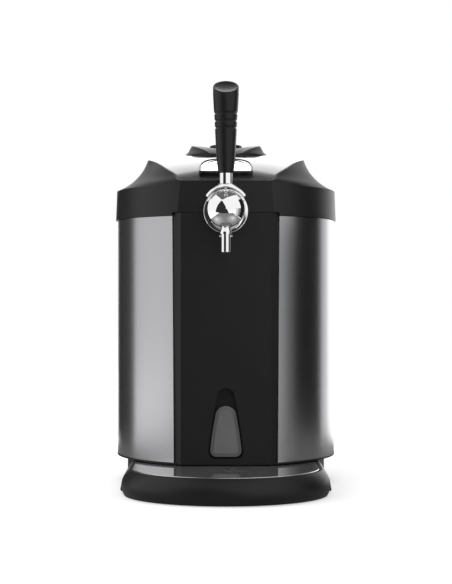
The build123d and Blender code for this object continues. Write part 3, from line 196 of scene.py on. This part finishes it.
front_y, front_top = -0.824, 0.993
reflected_board("front_dark", [(-1.10, front_y, 0), (0.225, front_y, 0),
                               (-0.295, front_y, front_top), (-0.42, front_y, front_top)],
                grey=0.03)
ceiling_plan = [(-0.48, -0.91), (-0.26, -0.97), (0.31, -0.52), (0.63, -0.08), (0.98, 0.69),
                (-0.72, 0.69), (-0.64, -0.18)]
reflected_board("ceiling_grey", [(x, y, 1.33) for x, y in ceiling_plan], grey=0.14)
mat_plan = [(-0.52, -0.82), (0.52, -0.82), (0.52, 0.4), (-0.52, 0.4)]
reflected_mat("grey_mat", [(x, y, 0.001) for x, y in mat_plan], grey=0.22, glow=2.6,
              spots=[(-0.30, -0.23, 0.34), (0.25, -0.34, 0.32)])

for name, start, end, high, grey in (("left_rear_dark", -105, -150, 0.6, 0.05),
                                     ("right_soft", 45, 56, 0.36, 0.70),
                                     ("right_grey", 56, 63, 0.36, 0.40),
                                     ("right_shade", 63, 72, 0.36, 0.17),
                                     ("right_dark", 72, 112, 0.75, 0.015),
                                     ("right_rear_bright", 126, 165, 0.5, 2.0)):
    upright_board(name, start, end, reach=0.6, high=high, grey=grey)

camera_data = bpy.data.cameras.new("camera")
camera = bpy.data.objects.new("camera", camera_data)
bpy.context.scene.collection.objects.link(camera)
bpy.context.scene.camera = camera
camera.location = (0, -1.6318, 0.226)
camera.rotation_euler = (math.radians(90), 0, 0)
camera_data.lens = 82.36
camera_data.shift_x = 0.0002
camera_data.shift_y = 0.0086
bpy.context.scene.view_settings.view_transform = "Standard"


# Black mouldings of the body: base drum and plate, rim, top collar, rear housing and hinge.
# They are injection moulded in black plastic with a fine grain, and snap or screw together.
def dress(material, *names):
    """Gives CAD pieces their finish."""
    for name in names:
        slots = nodes[name].data.materials
        slots.clear()
        slots.append(material)


def noise_pattern(tree, scale, stretch=(1, 1, 1), detail=2.0):
    """A noise pattern in the part's own metres, finer along an axis by its stretch."""
    where = tree.nodes.new("ShaderNodeTexCoord")
    mapping = tree.nodes.new("ShaderNodeMapping")
    mapping.inputs["Scale"].default_value = stretch
    tree.links.new(where.outputs["Object"], mapping.inputs["Vector"])
    pattern = tree.nodes.new("ShaderNodeTexNoise")
    pattern.inputs["Scale"].default_value = scale
    pattern.inputs["Detail"].default_value = detail
    tree.links.new(mapping.outputs[0], pattern.inputs["Vector"])
    return pattern


def ramp(tree, source, low, high):
    """Maps a 0 to 1 pattern to a range."""
    span = tree.nodes.new("ShaderNodeMapRange")
    span.inputs["To Min"].default_value = low
    span.inputs["To Max"].default_value = high
    tree.links.new(source, span.inputs["Value"])
    return span.outputs[0]


def bumped(tree, shader, height, strength, distance):
    """Raises the surface by a pattern."""
    bump = tree.nodes.new("ShaderNodeBump")
    bump.inputs["Strength"].default_value = strength
    bump.inputs["Distance"].default_value = distance
    tree.links.new(height, bump.inputs["Height"])
    tree.links.new(bump.outputs[0], shader.inputs["Normal"])


def tinted(tree, shader, dark, light, pattern):
    """Blends two close colours by a pattern."""
    mix = tree.nodes.new("ShaderNodeMix")
    mix.data_type = "RGBA"
    mix.inputs["A"].default_value = (*dark, 1)
    mix.inputs["B"].default_value = (*light, 1)
    tree.links.new(pattern, mix.inputs["Factor"])
    tree.links.new(mix.outputs["Result"], shader.inputs["Base Color"])


def grained_plastic(name, dark, light, smooth, rough, grain, shine=0.5):
    """Moulded plastic: cloudy tint, uneven gloss, and a fine grain raised in the mould."""
    material, tree, shader, _ = new_material(name)
    shader.inputs["Specular IOR Level"].default_value = shine
    cloud = noise_pattern(tree, scale=35.0)
    tinted(tree, shader, dark, light, cloud.outputs["Fac"])
    tree.links.new(ramp(tree, cloud.outputs["Fac"], smooth, rough), shader.inputs["Roughness"])
    fine = noise_pattern(tree, scale=2600.0)
    bumped(tree, shader, fine.outputs["Fac"], grain, distance=0.0001)
    return material


satin_black = grained_plastic("satin_black", (0.010, 0.010, 0.011), (0.014, 0.014, 0.015),
                              0.36, 0.44, 0.20, 0.28)
dress(satin_black, "base_housing", "base_plate", "tray_guides", "bottom_rim", "top_collar",
      "rear_housing", "rear_shelf", "hinge_ears", "hinge_leaf", "lid_latch")

# Feet and seal: pressed black rubber. The feet are glued under the base plate, and the seal
# lies in the collar where the lid comes down.
rubber = grained_plastic("black_rubber", (0.020, 0.020, 0.020), (0.032, 0.032, 0.031),
                         0.72, 0.85, 0.45)
dress(rubber, "rubber_feet", "lid_gasket")


# Small steel: screws, hinge pin, sensor and spring, turned or drawn and plated with zinc.
def plated(name, colour, smooth, rough, spread, metal=1.0):
    """Plated metal: roughness that drifts in patches, as handled metal has."""
    material, tree, shader, _ = new_material(name)
    shader.inputs["Metallic"].default_value = metal
    patch = noise_pattern(tree, spread, detail=4.0)
    tinted(tree, shader, tuple(0.92 * c for c in colour), colour, patch.outputs["Fac"])
    tree.links.new(ramp(tree, patch.outputs["Fac"], smooth, rough), shader.inputs["Roughness"])
    return material


zinc = plated("zinc_plate", (0.60, 0.60, 0.57), 0.25, 0.40, 300.0)
dress(zinc, "base_screws", "hinge_pin", "temperature_sensor", "button_spring", "leaf_screws",
      "fan_screws")

# Chamber and lid liner: drawn from pale grey plastic sheet, wiped clean and slightly glossy,
# with cream foam poured between it and the outer skin.
liner_grey = grained_plastic("liner_grey", (0.40, 0.41, 0.42), (0.45, 0.46, 0.47),
                             0.30, 0.40, 0.08)
dress(liner_grey, "keg_chamber", "lid_liner")
foam = grained_plastic("cream_foam", (0.78, 0.74, 0.62), (0.86, 0.83, 0.74), 0.85, 0.95, 0.9)
dress(foam, "insulation", "lid_foam")


# Steel sides: two sheets of dark steel rolled round the body, brushed along the roll, held
# by the rim below and the collar above.
def brushed(name, colour, smooth, rough):
    """Brushed steel: long level streaks in tint, gloss and height, from stretched noise."""
    material, tree, shader, _ = new_material(name)
    shader.inputs["Metallic"].default_value = 1.0
    streak = noise_pattern(tree, scale=1.0, stretch=(12, 12, 4500), detail=3.0)
    tinted(tree, shader, tuple(0.93 * c for c in colour), colour, streak.outputs["Fac"])
    tree.links.new(ramp(tree, streak.outputs["Fac"], smooth, rough), shader.inputs["Roughness"])
    bumped(tree, shader, streak.outputs["Fac"], strength=0.05, distance=0.00004)
    return material


dark_steel = brushed("brushed_dark_steel", (0.46, 0.46, 0.47), 0.22, 0.27)
dress(dark_steel, "side_panel_left", "side_panel_right")

# Front panel: one black moulding from base to lid with bevelled sides and a drop-shaped
# window sunk in it. The lens in the window is grey smoked plastic over a small lamp board.
panel_black = grained_plastic("panel_black", (0.012, 0.012, 0.013), (0.015, 0.015, 0.016),
                              0.40, 0.48, 0.15, 0.22)
dress(panel_black, "front_panel")


def smoked_plastic(name):
    """Smoked grey plastic: a cloudy tint under a thin polished face."""
    material, tree, shader, _ = new_material(name)
    cloud = noise_pattern(tree, scale=60.0)
    tinted(tree, shader, (0.13, 0.13, 0.135), (0.16, 0.16, 0.165), cloud.outputs["Fac"])
    tree.links.new(ramp(tree, cloud.outputs["Fac"], 0.22, 0.28), shader.inputs["Roughness"])
    shader.inputs["Coat Weight"].default_value = 0.6
    shader.inputs["Coat Roughness"].default_value = 0.08
    return material


dress(smoked_plastic("smoked_lens"), "status_lens")

# Circuit boards: lacquered green laminate with a fine grain, screwed or clipped in behind
# the covers.
board_green = grained_plastic("board_green", (0.02, 0.12, 0.06), (0.03, 0.17, 0.08),
                              0.30, 0.38, 0.3)
dress(board_green, "power_board", "lamp_board", "circuit_board")

# Cooling set: an extruded aluminium block and heat sink clamp a white thermoelectric module,
# and a black fan behind its grille blows through the fins.
aluminium = plated("milled_aluminium", (0.72, 0.73, 0.74), 0.35, 0.50, 150.0)
dress(aluminium, "cold_block", "heat_sink")
module_white = grained_plastic("module_white", (0.80, 0.80, 0.78), (0.88, 0.88, 0.86),
                               0.45, 0.55, 0.2)
dress(module_white, "peltier_module")
fan_black = grained_plastic("fan_black", (0.014, 0.014, 0.015), (0.022, 0.022, 0.023),
                            0.40, 0.55, 0.15)
dress(fan_black, "fan_frame", "fan_rotor", "fan_grille", "power_inlet", "switch_frame",
      "power_switch")

# Lid: a black dome with hollow wings, a gloss band that runs from front to back over it, and
# on the crest a flared collar round the grip.
dress(satin_black, "lid_shell", "crown_collar", "crown_grip")


def gloss_plastic(name, colour, smooth, rough):
    """Polished plastic: deep and even, with only a trace of unevenness in the gloss."""
    material, tree, shader, _ = new_material(name)
    cloud = noise_pattern(tree, scale=25.0)
    tinted(tree, shader, tuple(0.8 * c for c in colour), colour, cloud.outputs["Fac"])
    tree.links.new(ramp(tree, cloud.outputs["Fac"], smooth, rough), shader.inputs["Roughness"])
    shader.inputs["Coat Weight"].default_value = 0.5
    shader.inputs["Coat Roughness"].default_value = 0.04
    return material


gloss_black = gloss_plastic("gloss_black", (0.010, 0.010, 0.011), 0.15, 0.19)
dress(gloss_black, "lid_band", "button_bezel")

# Tap: a turned brass ball, flange, stem and spout under bright chrome, and a white valve
# plug inside. The saddle over the ball carries the stem and the black handle.
chrome = plated("bright_chrome", (0.95, 0.95, 0.96), 0.03, 0.05, 40.0)
dress(chrome, "tap_ball", "tap_flange", "tap_shank", "spout_tube", "tap_saddle", "tap_stem",
      "lid_button")
brass = plated("turned_brass", (0.72, 0.53, 0.26), 0.22, 0.34, 120.0)
dress(brass, "shank_nut", "hose_barb")
dress(module_white, "valve_core")


def surface(name, grid, body, material, round_u=False, round_v=False):
    """A smooth closed mesh from a grid of points; its poles are merged and it faces outwards."""
    rows, columns = grid.shape[:2]
    index = np.arange(rows * columns).reshape(rows, columns)
    across, along = np.roll(index, -1, 1), np.roll(index, -1, 0)
    quads = np.stack([index, across, np.roll(across, -1, 0), along], -1)
    quads = quads[: None if round_u else -1, : None if round_v else -1].reshape(-1, 4)
    mesh = bpy.data.meshes.new(name)
    mesh.from_pydata(grid.reshape(-1, 3).tolist(), [], quads.tolist())
    shape = bmesh.new()
    shape.from_mesh(mesh)
    bmesh.ops.remove_doubles(shape, verts=shape.verts, dist=1e-6)
    bmesh.ops.recalc_face_normals(shape, faces=shape.faces)
    shape.to_mesh(mesh)
    shape.free()
    mesh.shade_smooth()
    mesh.materials.append(material)
    thing = bpy.data.objects.new(name, mesh)
    bpy.context.scene.collection.objects.link(thing)
    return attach(thing, body)


lever = next(row for row in frame["record"]["behaviour"]["joints"]
             if row["name"] == "tap_lever_tilt")
_, lever_y, lever_z = lever["pos_m"]


def arch(inner, outer, flare, half_depth, half_angle, steps, round_steps):
    """Strap over a ball, as points by angle from upright and by angle round its section.

    The section is a rounded trapezoid, deeper inside than outside: its radius is the middle
    radius plus half the wall times a rounded cosine, and its depth is the half depth times a
    rounded sine, less a taper that grows outwards. The outside rises by the flare towards the
    top, as the bell curve exp(-(angle / spread)^2), and the last steps close the ends.
    """
    spread, end_round, corner, taper = math.radians(17), 0.05, 0.4, 0.13
    angle = np.linspace(-half_angle, half_angle, steps)
    close = np.clip((half_angle - np.abs(angle)) / end_round, 0, 1)
    close = np.sqrt(1 - (1 - close) ** 2)
    top = outer + flare * np.exp(-(angle / spread) ** 2)
    middle, wall = (inner + top) / 2, (top - inner) / 2 * close
    turn = np.linspace(0, 2 * math.pi, round_steps, endpoint=False)
    across = np.sign(np.cos(turn)) * np.abs(np.cos(turn)) ** corner
    deep = np.sign(np.sin(turn)) * np.abs(np.sin(turn)) ** corner
    radius = middle[:, None] + wall[:, None] * across
    depth = half_depth * deep * (1 - taper - taper * across) * close[:, None]
    return np.stack([radius * np.sin(angle)[:, None], lever_y + depth,
                     lever_z + radius * np.cos(angle)[:, None]], -1)


strap = arch(inner=0.0235, outer=0.0272, flare=0.0034, half_depth=0.0072,
             half_angle=math.radians(59), steps=120, round_steps=56)
saddle = surface("saddle_strap", strap, "tap_lever", chrome, round_v=True)
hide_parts("tap_saddle")

# Half-moon button on the lid's front slope: a raised black rim round a domed chrome plate
# with two dark rubber strips on it that stand for the shade in its grooves (painted shade). The
# rim snaps into the lid; the plate moves.
slope = math.radians(25.7)
moon_y, moon_z = -0.0663, 0.3696
moon_half, moon_back, moon_front = 0.0319, 0.0372, 0.0130


def moon_outline(turn, inset):
    """Half-moon seen square to its slope, for an angle round it.

    Behind its widest line it is the curve |x/a|^2.5 + |y/b|^2.5 = 1, and in front of it a
    rectangle with small round corners, as |x/a|^12 + |y/c|^12 = 1.
    """
    half, back, front = moon_half - inset, moon_back - inset, moon_front - inset
    c, s = np.cos(turn), np.sin(turn)
    power = np.where(s > 0, 2.5, 12.0)
    deep = np.where(s > 0, back, front)
    size = (np.abs(c / half) ** power + np.abs(s / deep) ** power) ** (-1 / power)
    return size * c, size * s + moon_front


def on_slope(x, along, lift):
    """Points given across, up along the slope and square to it, in the lid's place."""
    return np.stack([x, moon_y + along * math.cos(slope) - lift * math.sin(slope),
                     moon_z + along * math.sin(slope) + lift * math.cos(slope)], -1)


def moon_swell(along):
    """Extra height along the slope: level in front, and falling off as a parabola behind."""
    height, start, run = 0.0016, 0.020, 0.029
    return height * (1 - (np.maximum(along - start, 0) / run) ** 2)


def moon_rim(width, high, low, around, steps):
    """Full bead on the outline: inset and height go round a half circle and back below.

    The height is a power of the sine, which makes the bead fuller than a circle.
    """
    fullness = 0.7
    turn = np.linspace(0, 2 * math.pi, around, endpoint=False)[None, :]
    bead = np.linspace(0, math.pi, steps)
    inset = np.concatenate([(1 - np.cos(bead)) * width / 2, [width, 0]])[:, None]
    lift = np.concatenate([np.sin(bead) ** fullness * high, [low, low]])[:, None]
    x, along = moon_outline(turn, inset)
    return on_slope(x, along, lift + moon_swell(along) * (lift > low / 2))


def plate_lift(x, along):
    """Height of the plate over the slope: the swell, and a parabola across."""
    proud, crown = 0.0012, 0.0005
    return proud + moon_swell(along) + crown * (1 - (x / moon_half) ** 2)


def moon_plate(inset, low, around, steps):
    """Domed plate: rings shrink from its outline to the middle, and again on the flat back."""
    turn = np.linspace(0, 2 * math.pi, around, endpoint=False)[None, :]
    share = np.concatenate([np.linspace(0, 1, steps), np.linspace(1, 0, 8)])[:, None]
    x, along = moon_outline(turn, inset)
    x, along = x * share, moon_front + (along - moon_front) * share
    upper = np.arange(len(share))[:, None] < steps
    return on_slope(x, along, np.where(upper, plate_lift(x, along), low))


def moon_groove_shade(place, half, reach, steps):
    """Dark strip on the plate for the shade of a groove (painted shade), an arc at one share of
    the outline.

    Its half width falls from the middle to the tips as 1 - (angle / reach)^2, and its
    section is a flat hexagon that stands proud of the plate.
    """
    proud = 0.00015
    angle = np.linspace(-reach, reach, steps)[:, None]
    width = half * (1 - (angle / reach) ** 2)
    x, along = moon_outline(math.pi / 2 + angle, 0.0)
    share = place + width * np.array([-1, -0.6, 0.6, 1, 0.6, -0.6])
    x, along = x * share, moon_front + (along - moon_front) * share
    return on_slope(x, along, plate_lift(x, along)
                    + proud * np.array([0, 1, 1, 0, -2, -2]) * (width > 0))


bead = moon_rim(width=0.0026, high=0.0026, low=-0.0025, around=160, steps=12)
rim = surface("button_rim", bead, "lid", gloss_black, round_u=True, round_v=True)
plate = surface("button_plate", moon_plate(inset=0.0024, low=-0.0010, around=160, steps=40),
                "lid_button", chrome, round_v=True)
# The two lines are dark rubber strips: painted shade of the plate's grooves.
for place, half, reach in ((0.79, 0.085, 62), (0.52, 0.035, 66)):
    line = surface(f"button_groove_shade_{round(place * 100)}",
                   moon_groove_shade(place, half, math.radians(reach), 49), "lid_button", rubber,
                   round_v=True)

# Tap handle: moulded in one piece in black plastic round the chrome stem, with three turned
# grooves and a slanting, slightly dished top.
handle_black = grained_plastic("handle_black", (0.007, 0.007, 0.008), (0.010, 0.010, 0.011),
                               0.34, 0.42, 0.12, 0.30)
dress(handle_black, "tap_handle")


def handle_shape(foot, length, cut, steps, around):
    """Turned handle with an oblique top, as points by height and by angle.

    The radius follows a smooth curve through a few sizes in millimetres, less three grooves,
    each a bell curve of its own height. Heights are stretched so that the last ring lies in
    the cut, which rises to the rear by the tangent of its angle. The cut face is dished: it
    falls in steps towards the middle, and both ends close at a point.
    """
    cut_start, edge_round, window = 0.735, 0.25, 7
    grooves, groove_depth, groove_width = (0.524, 0.603, 0.689), 1.15, 0.0105
    share = np.concatenate([[0.0, 0.0], np.linspace(0.0, 1.0, steps)])
    places = [0, 0.015, 0.05, 0.155, 0.30, 0.49, 0.565, 0.649, 0.735, 0.79, 0.85, 0.90, 1.0]
    radii = [8.3, 8.8, 9.4, 10.55, 11.35, 12.25, 12.6, 12.95, 13.65, 14.0, 14.35, 14.6, 14.6]
    radius = np.interp(share, places, radii)
    radius[5:-5] = np.convolve(radius, np.ones(window) / window, "same")[5:-5]
    for groove in grooves:
        radius -= groove_depth * np.exp(-(((share - groove) / groove_width) ** 2))
    radius[0] = 0
    radius[-1] -= edge_round
    turn = np.linspace(0, 2 * math.pi, around, endpoint=False)
    rise = math.tan(cut)
    x = radius[:, None] / 1000 * np.cos(turn)
    y = radius[:, None] / 1000 * np.sin(turn)
    centre = foot + length - radii[-1] / 1000 * rise
    stretch = np.clip((share - cut_start) / (1 - cut_start), 0, 1)[:, None]
    z = foot + share[:, None] * (centre - foot)
    z = z + stretch * rise * y
    rings = np.array([0.985, 0.93, 0.80, 0.6, 0.35, 0.0])[:, None]
    lift = np.array([0.0003, 0.0002, -0.0003, -0.0009, -0.0013, -0.0015])[:, None]
    face_y = rings * y[-1]
    top = np.stack([rings * x[-1], face_y, centre + rise * face_y + lift], -1)
    return np.concatenate([np.stack([x, y, z], -1), top]) + np.array([0, lever_y, 0])


handle_low, handle_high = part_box("tap_handle")
foot_drop = 0.0009
turned = handle_shape(handle_low.z - foot_drop, handle_high.z - handle_low.z,
                      cut=math.radians(31), steps=220, around=96)
grip = surface("handle_grip", turned, "tap_lever", handle_black, round_v=True)
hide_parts("tap_handle")

# Drip tray: a black foot with bulged sides, its tub, and a mirror plate that lies loose in
# the rim and drains through a star of slots. The plate's front edge is rolled to a bright
# bead, and a rounded pad on each side of the foot is for the fingers.
dress(satin_black, "drip_tray", "tray_tub", "tray_grips")
mirror_steel = plated("mirror_steel", (0.82, 0.82, 0.83), 0.06, 0.10, 60.0, metal=0.89)
dress(mirror_steel, "drip_plate")
edge_steel = plated("rolled_edge_steel", (0.90, 0.90, 0.91), 0.20, 0.28, 60.0)


def rolled_edge(low, high, nose, radius, around, steps):
    """Bead along the plate's front edge: a round wire on half an ellipse, closed at its ends.

    Its radius shrinks to nothing over the last points of the arc.
    """
    closing, sunk = 12, 0.0002
    turn = np.linspace(0, math.pi, steps)[:, None]
    half = high.x - radius
    centre = low.y + nose
    across, along = half * np.cos(turn), (nose - radius) * np.sin(turn)
    normal = np.stack([np.cos(turn) / half, np.sin(turn) / (nose - radius)], -1)
    normal = normal / np.linalg.norm(normal, axis=-1, keepdims=True)
    wire = np.linspace(0, 2 * math.pi, around, endpoint=False)[None, :]
    thin = radius * np.clip(np.sin(turn) * closing, 0, 1)
    out, up = thin * np.cos(wire), thin * np.sin(wire)
    return np.stack([across + out * normal[..., 0], centre - along - out * normal[..., 1],
                     high.z - sunk + up], -1)


plate_low, plate_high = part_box("drip_plate")
edge = surface("plate_edge", rolled_edge(plate_low, plate_high, nose=0.0854, radius=0.0007,
                                         around=12, steps=181),
               "drip_plate", edge_steel, round_v=True)


def finger_pads(low, high, around, steps):
    """Two rounded pads, as one grid each by place along the side and angle round the section.

    The section is the curve |x/a|^4 + |z/b|^4 = 1, leaning inwards towards its top; it
    shrinks at both ends of the pad as the fourth root of 1 - t^4.
    """
    inset, half_wall, lean = 0.0057, 0.0045, 0.22
    place = np.linspace(-1, 1, steps)[:, None]
    size = (1 - place ** 4) ** 0.25
    turn = np.linspace(0, 2 * math.pi, around, endpoint=False)
    c, s = np.cos(turn), np.sin(turn)
    round_off = (np.abs(c) ** 4 + np.abs(s) ** 4) ** -0.25
    middle = (low + high) / 2
    up = size * (high.z - low.z) / 2 * s * round_off
    out = high.x - inset + size * half_wall * c * round_off - lean * up
    along = np.broadcast_to(middle.y + (high.y - low.y) / 2 * place, up.shape)
    return [np.stack([side * out, along, middle.z + up], -1) for side in (-1, 1)]


pads = finger_pads(*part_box("tray_grips"), around=40, steps=41)
for side, grid in zip(("left", "right"), pads):
    pad = surface(f"grip_pad_{side}", grid, "drip_tray", satin_black, round_v=True)
    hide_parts("tray_grips")
